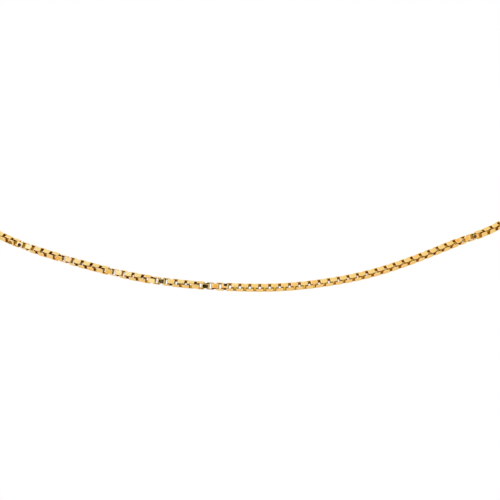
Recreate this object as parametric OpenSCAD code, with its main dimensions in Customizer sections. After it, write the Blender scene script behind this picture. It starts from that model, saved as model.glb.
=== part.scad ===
// Box chain necklace in its worn form: one closed loop, tilted so that it hangs low in front.
// Millimetres. X runs to the wearer's left, Y to the nape, Z up, and the middle of the neck
// opening is the origin.

/* [Loop] */
// Length of the whole necklace along its middle line, clasp included
chain_length = 450; // [430:5:470]
// Tilt of the loop's plane from level, front low and nape high
loop_tilt = 42; // [36:1:48]

/* [Links] */
// Outer length of one nearly square link, along the chain
link_l = 1.33; // [1.3:0.01:1.38]
// Outer width of one link, across the chain
link_w = 1.27; // [1.25:0.01:1.35]
// Thickness of the flat band that a link is bent from
link_wall = 0.14; // [0.12:0.005:0.145]
// Width of the flat band, along the link's opening
link_band = 0.58; // [0.5:0.01:0.6]
// Play along the chain between two links that interlock
link_play = 0.177; // [0.15:0.001:0.2]
// Cut of a link's four outer corners
link_chamfer = 0.08; // [0.03:0.01:0.1]
// Length of the front stretch whose links are open and loose
front_len = 205; // [100:5:210]

/* [Back] */
// Width over the corners of the plain rod that stands for the back of the chain
rod_d = 1.4; // [1.2:0.02:1.5]
// Distance between the rings of points along the rod
rod_step = 3.4; // [3:0.1:6]

/* [Clasp] */
// Outer diameter of the round clasp
clasp_d = 6; // [5.4:0.1:7]
// Diameter of the clasp's round body
clasp_wire = 1.1; // [0.9:0.05:1.2]
// Outer diameter of the clasp's fixed eye
eye_d = 2.5; // [2.4:0.1:2.8]
// Wire of the eye
eye_wire = 0.6; // [0.5:0.05:0.65]
// Length of the thumb stud on the clasp's rim
stud_len = 0.7; // [0.4:0.1:1]
// Diameter of the thumb stud
stud_d = 0.7; // [0.5:0.05:0.9]
// Outer diameter of the two plain rings that join chain and clasp
ring_d = 3.2; // [3.1:0.1:3.6]
// Wire of the two rings
ring_wire = 0.6; // [0.5:0.02:0.62]
// Play between the clasp, the rings and the chain's end links
ring_play = 0.15; // [0.12:0.01:0.18]

/* [Hidden] */
gold = [0.93, 0.74, 0.38];

// The loop's middle line in its own plane, seen along the plane's normal: X across, Y towards
// the nape, drawn for a 450 mm loop. It starts at the nape and goes round by -X to the front,
// where the points are closer together and the line is not quite the same on both sides.
route = [
  [0, 72.8], [-18, 70.4], [-34.6, 63.4], [-48.8, 52.3], [-59.9, 38.1], [-67, 21.5],
  [-70.4, 4], [-69.8, -14.2], [-65.7, -31.3], [-56.7, -48.1],
  [-47.7, -58.1], [-42.1, -62.4], [-34.5, -66], [-27.4, -69], [-19.8, -71.6], [-12, -73.2],
  [-4.1, -73.9], [3.8, -74.2], [11.7, -73], [19.4, -71], [26.7, -67.6], [33.3, -63.7],
  [37, -61.5], [40.8, -59.8], [46.5, -55.5], [54.2, -47.2],
  [64, -31], [68.8, -14], [70.2, 4.1], [67, 21.8], [59.8, 38.3],
  [48.7, 52.5], [34.4, 63.5], [17.8, 70.4]
];
// Roll of the chain about its own line. Columns: place as a share of the whole length from the
// nape, roll in degrees. The chain lies twisted left of the middle and once more far right.
rolls = [
  [0, 402], [0.393, 387], [0.399, 362], [0.403, 344], [0.405, 332], [0.407, 317], [0.409, 309],
  [0.411, 306], [0.415, 288], [0.4185, 275], [0.4225, 255], [0.4245, 246], [0.428, 218],
  [0.4305, 214], [0.432, 204], [0.436, 192], [0.44, 181], [0.4425, 168], [0.4445, 157],
  [0.4475, 139], [0.4495, 127], [0.4515, 121], [0.454, 110], [0.457, 102], [0.461, 81],
  [0.465, 56], [0.467, 50], [0.469, 37], [0.471, 27], [0.4745, 10], [0.478, 4], [0.48, -10],
  [0.482, -22], [0.484, -33], [0.486, -41], [0.4885, -56], [0.4915, -60], [0.4955, -78],
  [0.522, -82], [0.525, -82], [0.528, -82], [0.531, -78], [0.536, -80], [0.546, -79], [0.55, -81],
  [0.566, -82], [0.571, -77], [0.578, -72], [0.584, -83], [0.589, -66], [0.592, -52],
  [0.596, -30], [0.5985, -17], [0.602, -7], [0.607, 10], [1, 42]
];
// Shift of the links along the line, from their play. Columns: place as in rolls, shift as a
// share of the pitch, towards larger places.
shifts = [
  [0, -0.61], [0.27, 0.88], [0.4, 0.88], [0.409, 0.86], [0.43, 0.79], [0.45, 0.68], [0.467, 0.52],
  [0.4775, 0.38], [0.485, 0.33], [0.49, 0.24], [0.52, 0], [0.53, -0.04], [0.545, -0.14],
  [0.58, -0.12], [0.592, -0.03], [0.6, -0.27], [0.74, -0.29], [1, 0.55]
];
// Place of the front's middle link, as a share of the whole length from the nape
front_share = 0.503;

// Point of a closed uniform cubic B-spline
function spline(P, t) = let (n = len(P), i = floor(t), f = t - i)
  (P[(i - 1 + n) % n] * pow(1 - f, 3) + P[i % n] * (3 * pow(f, 3) - 6 * f * f + 4)
   + P[(i + 1) % n] * (1 + 3 * f + 3 * f * f - 3 * pow(f, 3)) + P[(i + 2) % n] * pow(f, 3)) / 6;
// Length run so far at each of a list of points
function run_to(P) = [for (k = 0, a = 0; k < len(P); a = a + norm(P[min(k + 1, len(P) - 1)]
  - P[k]), k = k + 1) a];
turns = len(route);
samples = 12 * turns;
drawn = [for (k = [0 : samples]) spline(route, (k % samples) / samples * turns)];
drawn_run = run_to(drawn);
route_k = chain_length / drawn_run[samples];
place = [for (k = [0 : samples]) [drawn_run[k] * route_k, k / samples * turns]];
function wrap(s) = s < 0 ? s + chain_length : s >= chain_length ? s - chain_length : s;
function at(s) = route_k * spline(route, lookup(wrap(s), place));
function heading(s) = let (d = at(s + 0.2) - at(s - 0.2)) atan2(d.y, d.x);
function roll(s) = lookup(wrap(s) / chain_length, rolls);

// Pitch of the taut chain, and the links of the front stretch counted from its middle link
link_pitch = link_l - 2 * link_wall - link_play;
side_links = 2 * floor(front_len / link_pitch / 4);
function link_at(i) = let (s = front_share * chain_length + i * link_pitch)
  s + link_pitch * lookup(s / chain_length, shifts);
function link_roll(i) = roll(link_at(i)) + (i % 2 == 0 ? 0 : 90);

// Rolls and distances from the clasp's middle at the nape
nape_roll = loop_tilt - 90;
clasp_r = (clasp_d - clasp_wire) / 2;
eye_r = (eye_d - eye_wire) / 2;
ring_r = (ring_d - ring_wire) / 2;
end_ring_s = clasp_r - clasp_wire / 2 - ring_play - ring_wire / 2 + ring_r;
eye_s = clasp_r + clasp_wire / 2 + eye_r;
clasp_ring_s = eye_s + eye_r - eye_wire / 2 - ring_play - ring_wire / 2 + ring_r;
// From a ring's middle to the middle of the end link that it passes through
ring_to_link = ring_r - ring_wire / 2 - ring_play - 0.05 + link_l / 2 - link_wall;

// Stands a child on the middle line: its X along the chain, its Z turned by roll from the
// plane's normal
module on_route(s, turn = 0)
  rotate([loop_tilt, 0, 0]) translate([at(s).x, at(s).y, 0]) rotate([turn, 0, heading(s)])
    children();

// One link: a flat band bent into a rectangle, open along Z
module link() {
  a = link_l / 2;
  b = link_w / 2;
  c = link_chamfer;
  difference() {
    linear_extrude(link_band, center = true)
      polygon([[a, b - c], [a - c, b], [c - a, b], [-a, b - c],
               [-a, c - b], [c - a, -b], [a - c, -b], [a, c - b]]);
    cube([2 * (a - link_wall), 2 * (b - link_wall), link_band + 1], center = true);
  }
}

// Plain eight-sided rod along the middle line
module rod(from, to) {
  n = ceil((to - from) / rod_step);
  r = rod_d / 2;
  points = [for (k = [0 : n]) let (s = from + (to - from) * k / n, p = at(s), h = heading(s))
    for (a = [0 : 7]) let (q = r * cos(45 * a + 22.5))
      [p.x - q * sin(h), p.y + q * cos(h), r * sin(45 * a + 22.5)]];
  sides = [for (k = [0 : n - 1], a = [0 : 7]) let (b = (a + 1) % 8)
    each [[8 * k + a, 8 * k + 8 + a, 8 * k + b], [8 * k + b, 8 * k + 8 + a, 8 * k + 8 + b]]];
  rotate([loop_tilt, 0, 0])
    polyhedron(points, concat(sides, [[for (a = [0 : 7]) a]], [[for (a = [7 : -1 : 0]) 8 * n + a]]));
}

module torus(r, wire) rotate_extrude($fn = 48) translate([r, 0]) circle(d = wire, $fn = 24);

// Front of the chain: open links, each turned a quarter from the one before it
module chain_front()
  color(gold) for (i = [-side_links : side_links]) on_route(link_at(i), link_roll(i)) link();

// One half of the back: an end link for the front, the rod, and an end link for a ring
module half_back(i, s_ring) {
  s0 = link_at(i);
  over = link_l / 2 - link_wall / 2;
  up = s_ring > s0;
  on_route(s0, link_roll(i)) link();
  on_route(s_ring, nape_roll) link();
  if (up) rod(s0 + over, s_ring - over);
  else rod(s_ring + over, s0 - over);
}

// Back of the chain: two plain halves, with a real link at each end
module chain_back()
  color(gold) {
    half_back(-side_links - 1, clasp_ring_s + ring_to_link);
    half_back(side_links + 1, chain_length - end_ring_s - ring_to_link);
  }

// Round clasp with a fixed eye and a thumb stud, flat against the nape
module clasp()
  color(gold) on_route(0, nape_roll) {
    torus(clasp_r, clasp_wire);
    translate([eye_s, 0, 0]) torus(eye_r, eye_wire);
    rotate([0, 0, 130]) translate([clasp_r, 0, 0]) rotate([0, 90, 0])
      cylinder(d = stud_d, h = clasp_wire / 2 + stud_len, $fn = 24);
  }

// Plain ring through the clasp's eye and one end of the chain
module clasp_ring()
  color(gold) on_route(clasp_ring_s, nape_roll) rotate([90, 0, 0]) torus(ring_r, ring_wire);

// Plain ring at the other end of the chain, hooked in the clasp
module end_ring()
  color(gold) on_route(-end_ring_s, nape_roll) rotate([90, 0, 0]) torus(ring_r, ring_wire);

chain_front();
chain_back();
clasp();
clasp_ring();
end_ring();
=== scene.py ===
"""Box chain necklace: its links, gold and studio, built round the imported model."""

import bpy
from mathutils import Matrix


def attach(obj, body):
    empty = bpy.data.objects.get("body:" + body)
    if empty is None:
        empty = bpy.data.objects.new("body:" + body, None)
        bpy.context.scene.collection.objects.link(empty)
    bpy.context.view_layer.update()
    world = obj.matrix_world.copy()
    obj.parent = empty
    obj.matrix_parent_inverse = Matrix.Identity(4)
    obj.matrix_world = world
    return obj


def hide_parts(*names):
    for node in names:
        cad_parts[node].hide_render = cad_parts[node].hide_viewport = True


bl_info = {
    "name": "Box Chain Necklace",
    "version": (1, 0, 0),
    "blender": (4, 5, 0),
    "location": "View3D > Sidebar > Necklace",
    "description": "Builds the links of a highlighted box chain, its gold and a plain studio",
    "category": "Add Mesh",
}

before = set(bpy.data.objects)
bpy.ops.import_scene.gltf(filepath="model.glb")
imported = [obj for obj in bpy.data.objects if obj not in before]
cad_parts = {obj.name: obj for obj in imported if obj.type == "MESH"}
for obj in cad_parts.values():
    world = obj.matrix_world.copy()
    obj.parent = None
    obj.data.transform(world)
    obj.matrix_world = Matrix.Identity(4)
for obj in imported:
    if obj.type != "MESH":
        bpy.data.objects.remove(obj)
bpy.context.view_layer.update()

import math
import random
from bisect import bisect_right

import bmesh
import bpy
from bpy.props import FloatProperty, FloatVectorProperty, IntProperty, PointerProperty
from mathutils import Matrix, Vector

MM = 0.001

# Control points of the loop's middle line in its own plane, in millimetres, from the nape
# round by -X
ROUTE = [
    (0, 72.8), (-18, 70.4), (-34.6, 63.4), (-48.8, 52.3), (-59.9, 38.1), (-67, 21.5),
    (-70.4, 4), (-69.8, -14.2), (-65.7, -31.3), (-56.7, -48.1),
    (-47.7, -58.1), (-42.1, -62.4), (-34.5, -66), (-27.4, -69), (-19.8, -71.6), (-12, -73.2),
    (-4.1, -73.9), (3.8, -74.2), (11.7, -73), (19.4, -71), (26.7, -67.6), (33.3, -63.7),
    (37, -61.5), (40.8, -59.8), (46.5, -55.5), (54.2, -47.2),
    (64, -31), (68.8, -14), (70.2, 4.1), (67, 21.8), (59.8, 38.3),
    (48.7, 52.5), (34.4, 63.5), (17.8, 70.4),
]
# Cuts of the line from one control point to the next, to measure it
ROUTE_CUTS = 12
# Distance on each side of a place over which the line's heading is taken, in metres
HEADING_STEP = 0.0002
# Roll about the chain's own line: share of the whole length from the nape, degrees
ROLLS = [
    (0, 402), (0.393, 387), (0.399, 362), (0.403, 344), (0.405, 332), (0.407, 317), (0.409, 309),
    (0.411, 306), (0.415, 288), (0.4185, 275), (0.4225, 255), (0.4245, 246), (0.428, 218),
    (0.4305, 214), (0.432, 204), (0.436, 192), (0.44, 181), (0.4425, 168), (0.4445, 157),
    (0.4475, 139), (0.4495, 127), (0.4515, 121), (0.454, 110), (0.457, 102), (0.461, 81),
    (0.465, 56), (0.467, 50), (0.469, 37), (0.471, 27), (0.4745, 10), (0.478, 4), (0.48, -10),
    (0.482, -22), (0.484, -33), (0.486, -41), (0.4885, -56), (0.4915, -60), (0.4955, -78),
    (0.522, -82), (0.525, -82), (0.528, -82), (0.531, -78), (0.536, -80), (0.546, -79),
    (0.55, -81), (0.566, -82), (0.571, -77), (0.578, -72), (0.584, -83), (0.589, -66),
    (0.592, -52), (0.596, -30), (0.5985, -17), (0.602, -7), (0.607, 10), (1, 42),
]
# How far the links have slid along the line: share of the whole length, share of the pitch
SLACK = [
    (0, -0.61), (0.27, 0.88), (0.4, 0.88), (0.409, 0.86), (0.43, 0.79), (0.45, 0.68),
    (0.467, 0.52), (0.4775, 0.38), (0.485, 0.33), (0.49, 0.24), (0.52, 0), (0.53, -0.04),
    (0.545, -0.14), (0.58, -0.12), (0.592, -0.03), (0.6, -0.27), (0.74, -0.29), (1, 0.55),
]
# Place of the front's middle link, as a share of the whole length from the nape
FRONT_SHARE = 0.503
# Links on each side of the middle one: loose ones of the front, and all of them
FRONT_LINKS = 116
ALL_LINKS = 251

# Faces across each bend and each rounded rim of a link
BEND_FACES = 2
RIM_FACES = 1
# Least part of a face's normal along an axis: to face that way, to lie flat across it, and to
# belong to one of a link's two ends
FACING = 0.9
FLAT = 0.999
END_FACING = 0.6
# Least angle between the faces at a rim, in radians, and a length that counts as none, in
# millimetres
RIM_ANGLE = 1.0
NO_LENGTH = 1e-4

# Painted shade inside the links and on their two ends, which the next links hide: link, share of
# it on a face that is upright
INSIDE_SHADE = [
    (-251, 0.6), (-50, 0.55), (-37, 0.9), (-9, 0.95), (0, 0.7), (25, 0.4), (251, 0.4),
]
# Share of the painted shade that a face loses by facing up and gains by facing down, and the
# least that it keeps
SHADE_FACING_UP = 0.7
SHADE_LEAST = 0.1
# Stains and warmer patches: link, side of it, place along and across its plate and radius in
# millimetres, strength
STAINS = [
    (-52, -1, -0.1, -0.25, 0.5, 0.7), (-50, -1, 0.04, -0.15, 0.38, 1), (-39, -1, 0, 0, 0.6, 0.12),
    (-6, -1, 0.1, 0.18, 0.36, 1), (48, -1, -0.3, 0.06, 0.36, 0.9),
]
PATCHES = [
    (-52, -1, -0.1, -0.25, 0.5, 0.7), (-41, -1, -0.2, -0.1, 0.5, 0.5), (-34, 1, 0, 0, 0.6, 0.3),
    (-8, -1, 0.1, -0.15, 0.4, 0.8), (-6, -1, 0, -0.2, 0.6, 0.3), (8, -1, 0, 0, 0.6, 0.25),
    (12, -1, 0, 0, 0.5, 0.5), (34, -1, 0, 0, 0.6, 0.3), (44, -1, -0.2, 0.1, 0.4, 0.8),
    (46, -1, -0.15, 0, 0.4, 0.7), (48, -1, 0.1, 0, 0.6, 0.5),
]
# Width of the fading rim inside such a spot, in metres
SPOT_FADE = MM / 12

# Clouds of duller polish and fine grain: waves for each metre, finer waves within them
CLOUDS = (2600.0, 1.0)
GRAIN = (9000.0, 3.0)
# Slope and start that turn the clouds' noise into dullness from none to full
DULL_SLOPE = 1.2
DULL_START = -0.45
# Greatest share of each colour over the one below it: deep gold where the polish is dull, deep
# gold by a link's own tone, and pale gold on its rounded edges, a painted highlight
DULL_SHARE = 0.5
TONE_SHARE = 0.35
HIGHLIGHT_SHARE = 0.3
# Value of "inside" at which the shaded inner gold of the painted shade is whole and its darkest
# brown begins
INNER_WHOLE = 0.2
# Roughness that each of these adds where it is at its full strength
ROUGHER = {"dull": 0.10, "grain": 0.04, "tone": 0.05, "inside": 0.12, "stain": 0.3}
# Height of the fine grain in metres, and how much of it shows
GRAIN_HEIGHT = 0.00002
GRAIN_SHOWS = 0.05
# Tint of the gold's reflections at a glancing angle
GLANCE_TINT = (1.0, 0.8, 0.6, 1.0)

# Cards that only reflections see: name, middle, the way it faces, width and height in metres,
# light
CARDS = [
    ("dark_card", (-0.31, -1.9, -0.22), (0, 1, 0), 0.92, 1.4, (0.012, 0.01, 0.008)),
    ("left_card", (-1.7, -1.9, 1.3), (0, 1, 0), 1.8, 2.2, (1.25, 1.32, 2.2)),
    ("low_card", (-1.7, -1.9, -0.6), (0, 1, 0), 1.2, 1.4, (0.92, 0.82, 0.6)),
    ("foot_card", (-1.1, -1.88, -1.36), (0, 1, 0), 0.8, 0.44, (1.25, 1.4, 2.1)),
    ("top_card", (-1.35, -0.3, 2.4), (0, 0, -1), 2.5, 4.4, (1.0, 1.15, 1.5)),
    ("side_card", (1.9, 0, 0.1), (-1, 0, 0), 1.8, 2.2, (0.1, 0.05, 0.02)),
    ("warm_card", (0, 0, -1.5), (0, 0, 1), 3.0, 3.0, (0.95, 0.89, 0.95)),
]
# The round floor's corners and its roughness
FLOOR_SIDES = 96
FLOOR_ROUGH = 0.9
# The picture's width in pixels, and pixels for each millimetre of the chain
PICTURE_W = 500
PIXELS_PER_MM = 5.775
# The camera's film in millimetres, and the nearest and farthest that it sees in metres
FILM_W = 36.0
NEAREST = 0.01
FARTHEST = 60.0


class NecklaceSizes(bpy.types.PropertyGroup):
    chain_length: FloatProperty(
        name="Length", description="Whole necklace along its middle line, clasp included",
        default=0.450, unit="LENGTH")
    loop_tilt: FloatProperty(
        name="Tilt", description="Tilt of the loop's plane from level",
        default=math.radians(42), subtype="ANGLE")
    link_l: FloatProperty(
        name="Link length", description="Outer size of one link along the chain",
        default=0.00133, unit="LENGTH", precision=5)
    link_w: FloatProperty(
        name="Link width", description="Outer size of one link across the chain",
        default=0.00127, unit="LENGTH", precision=5)
    link_wall: FloatProperty(
        name="Band thickness", description="Thickness of the band a link is bent from",
        default=0.00019, unit="LENGTH", precision=5)
    link_band: FloatProperty(
        name="Band width", description="Width of the band, along the link's opening",
        default=0.0008, unit="LENGTH", precision=5)
    link_pitch: FloatProperty(
        name="Pitch", description="Distance from one link to the next", default=0.000873,
        unit="LENGTH", precision=6)
    bend_r: FloatProperty(
        name="Bend", description="Outer radius of a link's four bends", default=0.00019,
        unit="LENGTH", precision=5)
    rim_r: FloatProperty(
        name="Rim", description="Rounding of the band's two long edges", default=0.00006,
        unit="LENGTH", precision=5)
    unevenness: FloatProperty(
        name="Unevenness", description="How far a link may turn out of line with the next",
        default=math.radians(1), subtype="ANGLE")
    seed: IntProperty(name="Seed", description="Start of the random draws", default=7)


class NecklaceGold(bpy.types.PropertyGroup):
    gold: FloatVectorProperty(
        name="Gold", description="Colour of the polished plates", subtype="COLOR",
        default=(0.96, 0.68, 0.24))
    deep_gold: FloatVectorProperty(
        name="Deep gold", description="Colour where the polish is duller", subtype="COLOR",
        default=(0.88, 0.5, 0.1))
    # Painted shade: the colour inside the links where they face up
    shaded_inner_gold: FloatVectorProperty(
        name="Inner gold", description="Colour inside the links, where they face up",
        subtype="COLOR", default=(0.82, 0.45, 0.04))
    # Painted shade: the darkest colour inside the links, where they face down
    shade_brown: FloatVectorProperty(
        name="Shade", description="Colour inside the links, where they face down",
        subtype="COLOR", default=(0.22, 0.095, 0.006))
    orange: FloatVectorProperty(
        name="Orange gold", description="Colour of the warmer patches", subtype="COLOR",
        default=(1.0, 0.42, 0.06))
    stain: FloatVectorProperty(
        name="Stain", description="Colour of the round dark stains", subtype="COLOR",
        default=(0.05, 0.035, 0.03))
    # Painted highlight: the pale gold on the rounded rims and bends
    highlight_gold: FloatVectorProperty(
        name="Pale gold", description="Colour of the highlighted edges", subtype="COLOR",
        default=(1.0, 0.8, 0.4))
    polish: FloatProperty(
        name="Roughness", description="Roughness of the polished plates", default=0.10,
        min=0.0, max=1.0)


class NecklaceStudio(bpy.types.PropertyGroup):
    drop: FloatProperty(
        name="Floor drop", description="How far the floor lies below the neck opening",
        default=1.6, unit="LENGTH")
    floor_r: FloatProperty(
        name="Floor radius", description="Radius of the round floor", default=12.0,
        unit="LENGTH")
    floor_colour: FloatVectorProperty(
        name="Floor colour", description="Colour of the pale floor", subtype="COLOR",
        default=(0.93, 0.93, 0.93))
    lens_at: FloatVectorProperty(
        name="Lens", description="Place of the camera's lens, which looks level to the back",
        subtype="TRANSLATION", precision=4, default=(-0.0006, -0.655, -0.043))
    reach: FloatProperty(
        name="Camera distance", description="From the lens to the front of the chain",
        default=0.600, unit="LENGTH")
    frame_w: FloatProperty(
        name="Frame width", description="Width of the picture where the chain is",
        default=PICTURE_W / PIXELS_PER_MM * MM, unit="LENGTH")


SIZES = "necklace_sizes"
GOLD = "necklace_gold"
STUDIO = "necklace_studio"


def settings(name):
    return getattr(bpy.context.scene, name)


# The middle line

def spline(t):
    """Point of the closed uniform cubic B-spline with ROUTE's control points, in millimetres."""
    n, i = len(ROUTE), int(math.floor(t))
    f = t - i
    w = ((1 - f) ** 3, 3 * f ** 3 - 6 * f * f + 4, 1 + 3 * f + 3 * f * f - 3 * f ** 3, f ** 3)
    points = [Vector(ROUTE[(i + k) % n]) for k in (-1, 0, 1, 2)]
    return sum((p * a for p, a in zip(points, w)), Vector((0, 0))) / 6


def lookup(x, rows):
    """Value at x on the straight line between the two nearest rows of a table."""
    k = min(max(bisect_right(rows, x, key=lambda row: row[0]), 1), len(rows) - 1)
    (x0, y0), (x1, y1) = rows[k - 1], rows[k]
    return y0 + (y1 - y0) * (x - x0) / (x1 - x0)


class MiddleLine:
    """The chain's middle line, asked for places by distance from the nape in metres."""

    def __init__(self, sizes):
        self.length = sizes.chain_length
        self.tilt = Matrix.Rotation(sizes.loop_tilt, 4, "X")
        ts = [k / ROUTE_CUTS for k in range(len(ROUTE) * ROUTE_CUTS + 1)]
        points = [spline(t % len(ROUTE)) for t in ts]
        run = [0.0]
        for a, b in zip(points, points[1:]):
            run.append(run[-1] + (b - a).length)
        self.scale = self.length / run[-1]
        self.places = [(r * self.scale, t) for r, t in zip(run, ts)]

    def at(self, s):
        return spline(lookup(s % self.length, self.places)) * self.scale

    def heading(self, s):
        d = self.at(s + HEADING_STEP) - self.at(s - HEADING_STEP)
        return math.atan2(d.y, d.x)

    def share(self, s):
        return s % self.length / self.length

    def roll(self, s):
        return math.radians(lookup(self.share(s), ROLLS))

    def slack(self, s):
        return lookup(self.share(s), SLACK)

    def stand(self, s, turn):
        """Matrix with X along the chain and Z turned from the loop plane's normal."""
        p = self.at(s)
        return (self.tilt @ Matrix.Translation((p.x, p.y, 0))
                @ Matrix.Rotation(self.heading(s), 4, "Z") @ Matrix.Rotation(turn, 4, "X"))


# Modelling helpers

def deselect_all():
    for o in bpy.context.selected_objects:
        o.select_set(False)


def pick(mesh_object, faces=None, edges=None):
    """Selects, in edit mode, the faces or edges that a test accepts."""
    bm = bmesh.from_edit_mesh(mesh_object.data)
    bm.normal_update()
    for part in (bm.verts, bm.edges, bm.faces):
        for x in part:
            x.select = False
    bpy.context.tool_settings.mesh_select_mode = (False, edges is not None, faces is not None)
    for x in (bm.faces if faces else bm.edges):
        if (faces or edges)(x):
            x.select_set(True)
    bm.select_flush_mode()
    bmesh.update_edit_mesh(mesh_object.data)


def join(name, objects):
    """Joins mesh objects into the first of them and names it."""
    deselect_all()
    for o in objects:
        o.select_set(True)
    bpy.context.view_layer.objects.active = objects[0]
    bpy.ops.object.join()
    piece = bpy.context.object
    piece.name = piece.data.name = name
    return piece


def coat(mesh_object, material):
    """Gives an object one material in place of those it has."""
    mesh_object.data.materials.clear()
    mesh_object.data.materials.append(material)


# The links

def link_pattern(sizes):
    """One square link in millimetres, open along Z: a flat band bent into a square."""
    length, w, wall, band, bend, rim = (v / MM for v in (
        sizes.link_l, sizes.link_w, sizes.link_wall, sizes.link_band, sizes.bend_r, sizes.rim_r))
    deselect_all()
    bpy.ops.mesh.primitive_cube_add(size=1)
    link = bpy.context.object
    link.name = "link_pattern"
    bpy.ops.object.mode_set(mode="EDIT")
    bpy.ops.transform.resize(value=(length, w, band))
    pick(link, faces=lambda f: abs(f.normal.z) > FACING)
    bpy.ops.mesh.inset(thickness=wall)
    bpy.ops.mesh.bridge_edge_loops()

    def is_outer(co):
        return abs(co.x) > (length - wall) / 2 or abs(co.y) > (w - wall) / 2

    def is_bend(e):
        a, b = (v.co for v in e.verts)
        return abs(a.z - b.z) > band / 2 and is_outer(a)

    pick(link, edges=is_bend)
    bpy.ops.mesh.bevel(offset=bend, offset_type="OFFSET", segments=BEND_FACES, affect="EDGES")

    def is_rim(e):
        return (all(abs(abs(v.co.z) - band / 2) < NO_LENGTH for v in e.verts)
                and e.calc_face_angle() > RIM_ANGLE)

    pick(link, edges=is_rim)
    bpy.ops.mesh.bevel(offset=rim, offset_type="OFFSET", segments=RIM_FACES, affect="EDGES")
    bpy.ops.mesh.select_all(action="SELECT")
    bpy.ops.mesh.normals_make_consistent(inside=False)
    bpy.ops.object.mode_set(mode="OBJECT")
    mesh = link.data
    # The "inside" attribute marks where shade is painted: the inner faces and the two ends that
    # the next links hide
    inside = mesh.attributes.new("inside", "FLOAT", "FACE")
    edge_highlight = mesh.attributes.new("edge_highlight", "FLOAT", "FACE")
    for face in mesh.polygons:
        c, n = face.center, face.normal
        flat = max(abs(n.x), abs(n.y), abs(n.z)) > FLAT
        face.use_smooth = not flat
        facing_in = n.x * c.x + n.y * c.y < -NO_LENGTH
        hidden = facing_in or abs(n.x) > END_FACING
        inside.data[face.index].value = 1.0 if hidden else 0.0
        # Rounded rims and bends that are not hidden get a painted highlight
        edge_highlight.data[face.index].value = 0.0 if flat or hidden else 1.0
    return link


def link_stand(line, sizes, i, uneven=0.0):
    """Matrix of link i, numbered from the front's middle link."""
    s = FRONT_SHARE * sizes.chain_length + i * sizes.link_pitch
    s += line.slack(s) * sizes.link_pitch
    return line.stand(s, line.roll(s) + (math.pi / 2 if i % 2 else 0) + uneven)


def lay_links(name, first, last):
    """Copies of the pattern along the middle line, numbered from the front's middle link."""
    sizes = settings(SIZES)
    line = MiddleLine(sizes)
    pattern = link_pattern(sizes)
    draw = random.Random(sizes.seed + first)
    copies = []
    for i in range(first, last + 1):
        uneven = draw.uniform(-1, 1) * sizes.unevenness
        copy = pattern.copy()
        copy.data = pattern.data.copy()
        copy.data.transform(link_stand(line, sizes, i, uneven) @ Matrix.Scale(MM, 4))
        shade = copy.data.attributes["inside"].data
        # Painted shade, set per link from the table: deeper on faces that look down, less on
        # those that look up
        shade_share = lookup(i, INSIDE_SHADE)
        for face in copy.data.polygons:
            kept = min(max(shade_share - SHADE_FACING_UP * face.normal.z, SHADE_LEAST), 1.0)
            shade[face.index].value *= kept
        tone = copy.data.attributes.new("tone", "FLOAT", "FACE")
        value = draw.random()
        tone.data.foreach_set("value", [value] * len(copy.data.polygons))
        bpy.context.collection.objects.link(copy)
        copies.append(copy)
    bpy.data.objects.remove(pattern)
    return join(name, copies)


# Shader maths

class Value:
    """A socket in a node tree; sums and products of values add Math nodes."""

    def __init__(self, tree, socket):
        self.tree, self.socket = tree, socket

    @staticmethod
    def put(tree, socket, v):
        if isinstance(v, Value):
            tree.links.new(v.socket, socket)
        else:
            socket.default_value = v

    def math(self, operation, *others, clamp=False):
        node = self.tree.nodes.new("ShaderNodeMath")
        node.operation, node.use_clamp = operation, clamp
        for socket, v in zip(node.inputs, (self, *others)):
            Value.put(self.tree, socket, v)
        return Value(self.tree, node.outputs[0])

    def ramp(self, slope, start):
        """Slope times the value plus start, held between zero and one."""
        return self.math("MULTIPLY_ADD", slope, start, clamp=True)

    def between(self, low, high):
        """Zero at low and one at high, straight in between and held beyond."""
        return self.ramp(1 / (high - low), -low / (high - low))

    def __add__(self, o): return self.math("ADD", o)
    __radd__ = __add__
    def __mul__(self, o): return self.math("MULTIPLY", o)
    __rmul__ = __mul__


class Shader:
    """Adds nodes to a tree: type, settings first, then the values or links of its sockets."""

    def __init__(self, tree):
        self.tree = tree
        tree.nodes.clear()

    def add(self, kind, settings=None, out=0, **sockets):
        """A socket is named with _ for its spaces, or i and its number; out is the output's."""
        node = self.tree.nodes.new(kind)
        for key, v in (settings or {}).items():
            setattr(node, key, v)
        for key, v in sockets.items():
            place = int(key[1:]) if key[0] == "i" and key[1:].isdigit() else key.replace("_", " ")
            Value.put(self.tree, node.inputs[place], v)
        return Value(self.tree, node.outputs[out]) if len(node.outputs) else None

    def attribute(self, name):
        """A number that the mesh keeps for each face."""
        return self.add("ShaderNodeAttribute", {"attribute_name": name}, out="Fac")

    def noise(self, place, scale, detail):
        return self.add("ShaderNodeTexNoise", Vector=place, Scale=scale, Detail=detail)

    def mix(self, factor, a, b):
        """Colour between a and b, which are inputs 6 and 7 of a Mix node, with output 2."""
        rgba = [v if isinstance(v, Value) else (*v[:3], 1.0) for v in (a, b)]
        return self.add("ShaderNodeMix", {"data_type": "RGBA"}, out=2, i0=factor, i6=rgba[0],
                        i7=rgba[1])


def new_material(name):
    """An empty material, and the shader that adds its nodes."""
    mat = bpy.data.materials.new(name)
    mat.use_nodes = True
    return mat, Shader(mat.node_tree)


# The gold

def spots(sh, place, rows):
    """One inside the nearest of some round spots, fading at the rim, and zero outside."""
    sizes = settings(SIZES)
    line = MiddleLine(sizes)
    total = None
    for i, side, along, across, radius, strength in rows:
        on_link = Vector((along * MM, side * sizes.link_w / 2, across * MM))
        centre = link_stand(line, sizes, i) @ on_link
        away = sh.add("ShaderNodeVectorMath", {"operation": "DISTANCE"}, out="Value", i0=place,
                      i1=centre)
        spot = away.between(radius * MM, radius * MM - SPOT_FADE) * strength
        total = total.math("MAXIMUM", spot) if total else spot
    return total


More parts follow.
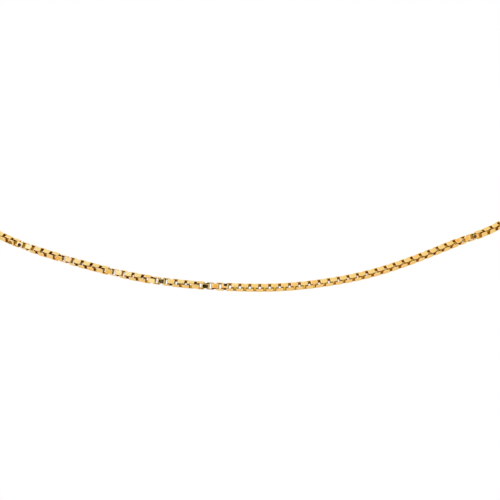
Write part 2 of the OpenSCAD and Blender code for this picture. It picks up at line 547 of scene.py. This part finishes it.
def gold_material(name, look, links):
    """Polished yellow gold; links also have painted shade inside, a painted highlight on their
    rounded rims and bends, and each its own tone.
    """
    mat, sh = new_material(name)
    place = sh.add("ShaderNodeTexCoord", out="Object")
    grain = sh.noise(place, *GRAIN)
    dull = sh.noise(place, *CLOUDS).ramp(DULL_SLOPE, DULL_START)
    colour = sh.mix(dull * DULL_SHARE, look.gold, look.deep_gold)
    rough = look.polish + dull * ROUGHER["dull"] + grain * ROUGHER["grain"]
    if links:
        tone, inside, edge_highlight = (sh.attribute(a) for a in ("tone", "inside", "edge_highlight"))
        colour = sh.mix(tone * TONE_SHARE, colour, look.deep_gold)
        # Painted highlight: pale gold on the rounded rims and bends
        colour = sh.mix(edge_highlight * HIGHLIGHT_SHARE, colour, look.highlight_gold)
        # Painted shade inside the links: shaded inner gold, then dark brown
        colour = sh.mix(inside.between(0, INNER_WHOLE), colour, look.shaded_inner_gold)
        colour = sh.mix(inside.between(INNER_WHOLE, 1), colour, look.shade_brown)
        colour = sh.mix(spots(sh, place, PATCHES), colour, look.orange)
        stain = spots(sh, place, STAINS)
        colour = sh.mix(stain, colour, look.stain)
        rough = rough + tone * ROUGHER["tone"] + inside * ROUGHER["inside"]
        rough = rough + stain * ROUGHER["stain"]
    bump = sh.add("ShaderNodeBump", Height=grain, Strength=GRAIN_SHOWS, Distance=GRAIN_HEIGHT)
    skin = sh.add("ShaderNodeBsdfPrincipled", Base_Color=colour, Metallic=1.0, Roughness=rough,
                  Specular_Tint=GLANCE_TINT, Normal=bump)
    sh.add("ShaderNodeOutputMaterial", Surface=skin)
    return mat


def gold(links):
    name = "gold_links" if links else "gold_clasp"
    return bpy.data.materials.get(name) or gold_material(name, settings(GOLD), links)


# Operators

def dress_links(piece, node):
    """Puts laid links in the place of a node."""
    coat(piece, gold(True))
    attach(piece, "root")
    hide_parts(node)


class NECKLACE_OT_front_links(bpy.types.Operator):
    """Lays the loose links of the front"""
    bl_idname = "necklace.front_links"
    bl_label = "Front Links"

    def execute(self, context):
        dress_links(lay_links("front_links", -FRONT_LINKS, FRONT_LINKS), "chain_front")
        return {"FINISHED"}


class NECKLACE_OT_back_links(bpy.types.Operator):
    """Lays the links of both halves of the back, from the front to the clasp"""
    bl_idname = "necklace.back_links"
    bl_label = "Back Links"

    def execute(self, context):
        left = lay_links("left", -ALL_LINKS, -FRONT_LINKS - 1)
        right = lay_links("right", FRONT_LINKS + 1, ALL_LINKS)
        dress_links(join("back_links", [left, right]), "chain_back")
        return {"FINISHED"}


class NECKLACE_OT_clasp(bpy.types.Operator):
    """Gives the clasp and its two rings their gold"""
    bl_idname = "necklace.clasp"
    bl_label = "Clasp and Rings"

    def execute(self, context):
        for node in ("clasp", "clasp_ring", "end_ring"):
            coat(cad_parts[node], gold(False))
        return {"FINISHED"}


def white_world():
    """World of even white light."""
    world = bpy.data.worlds.new("white_studio")
    world.use_nodes = True
    sh = Shader(world.node_tree)
    light = sh.add("ShaderNodeBackground", Color=(1, 1, 1, 1), Strength=1.0)
    sh.add("ShaderNodeOutputWorld", Surface=light)
    return world


def lay_floor(studio):
    """The pale round floor."""
    deselect_all()
    bpy.ops.mesh.primitive_circle_add(
        vertices=FLOOR_SIDES, radius=studio.floor_r, fill_type="NGON")
    floor = bpy.context.object
    floor.name = floor.data.name = "floor"
    floor.data.transform(Matrix.Translation((0, 0, -studio.drop)))
    mat, sh = new_material("pale_floor")
    skin = sh.add("ShaderNodeBsdfPrincipled", Base_Color=(*studio.floor_colour, 1.0),
                  Roughness=FLOOR_ROUGH)
    sh.add("ShaderNodeOutputMaterial", Surface=skin)
    coat(floor, mat)


def hang_card(name, middle, facing, width, height, light):
    """A flat card that only reflections see."""
    deselect_all()
    bpy.ops.mesh.primitive_plane_add(size=1)
    card = bpy.context.object
    card.name = card.data.name = name
    turn = Vector(facing).to_track_quat("Z", "Y").to_matrix().to_4x4()
    card.data.transform(
        Matrix.Translation(middle) @ turn @ Matrix.Diagonal((width, height, 1, 1)))
    mat, sh = new_material(name)
    glow = sh.add("ShaderNodeEmission", Color=(*light, 1.0), Strength=1.0)
    sh.add("ShaderNodeOutputMaterial", Surface=glow)
    coat(card, mat)
    card.visible_camera = card.visible_shadow = card.visible_diffuse = False


def set_camera(scene, studio):
    """Camera level with the front of the chain, looking to the back."""
    data = bpy.data.cameras.new("camera")
    data.sensor_width = FILM_W
    data.lens = data.sensor_width * studio.reach / studio.frame_w
    data.clip_start, data.clip_end = NEAREST, FARTHEST
    cam = bpy.data.objects.new("camera", data)
    bpy.context.collection.objects.link(cam)
    cam.location = studio.lens_at
    cam.rotation_euler = (math.pi / 2, 0, 0)
    scene.camera = cam


class NECKLACE_OT_studio(bpy.types.Operator):
    """Sets the white studio: world, floor, cards and camera"""
    bl_idname = "necklace.studio"
    bl_label = "Studio"

    def execute(self, context):
        scene = context.scene
        scene.view_settings.view_transform = "Standard"
        scene.world = white_world()
        lay_floor(settings(STUDIO))
        for row in CARDS:
            hang_card(*row)
        set_camera(scene, settings(STUDIO))
        return {"FINISHED"}


class NECKLACE_PT_panel(bpy.types.Panel):
    """Lists the steps in order"""
    bl_idname = "NECKLACE_PT_panel"
    bl_label = "Box Chain Necklace"
    bl_space_type = "VIEW_3D"
    bl_region_type = "UI"
    bl_category = "Necklace"

    def draw(self, context):
        for step in STEPS:
            self.layout.operator(step.bl_idname)


STEPS = (NECKLACE_OT_studio, NECKLACE_OT_front_links, NECKLACE_OT_back_links, NECKLACE_OT_clasp)
GROUPS = ((SIZES, NecklaceSizes), (GOLD, NecklaceGold), (STUDIO, NecklaceStudio))


def register():
    for name, group in GROUPS:
        bpy.utils.register_class(group)
        setattr(bpy.types.Scene, name, PointerProperty(type=group))
    for cls in (*STEPS, NECKLACE_PT_panel):
        bpy.utils.register_class(cls)


def unregister():
    for cls in (NECKLACE_PT_panel, *reversed(STEPS)):
        bpy.utils.unregister_class(cls)
    for name, group in reversed(GROUPS):
        delattr(bpy.types.Scene, name)
        bpy.utils.unregister_class(group)


def main():
    register()
    for step in STEPS:
        getattr(bpy.ops.necklace, step.bl_idname.split(".")[1])()


if __name__ == "__main__":
    main()
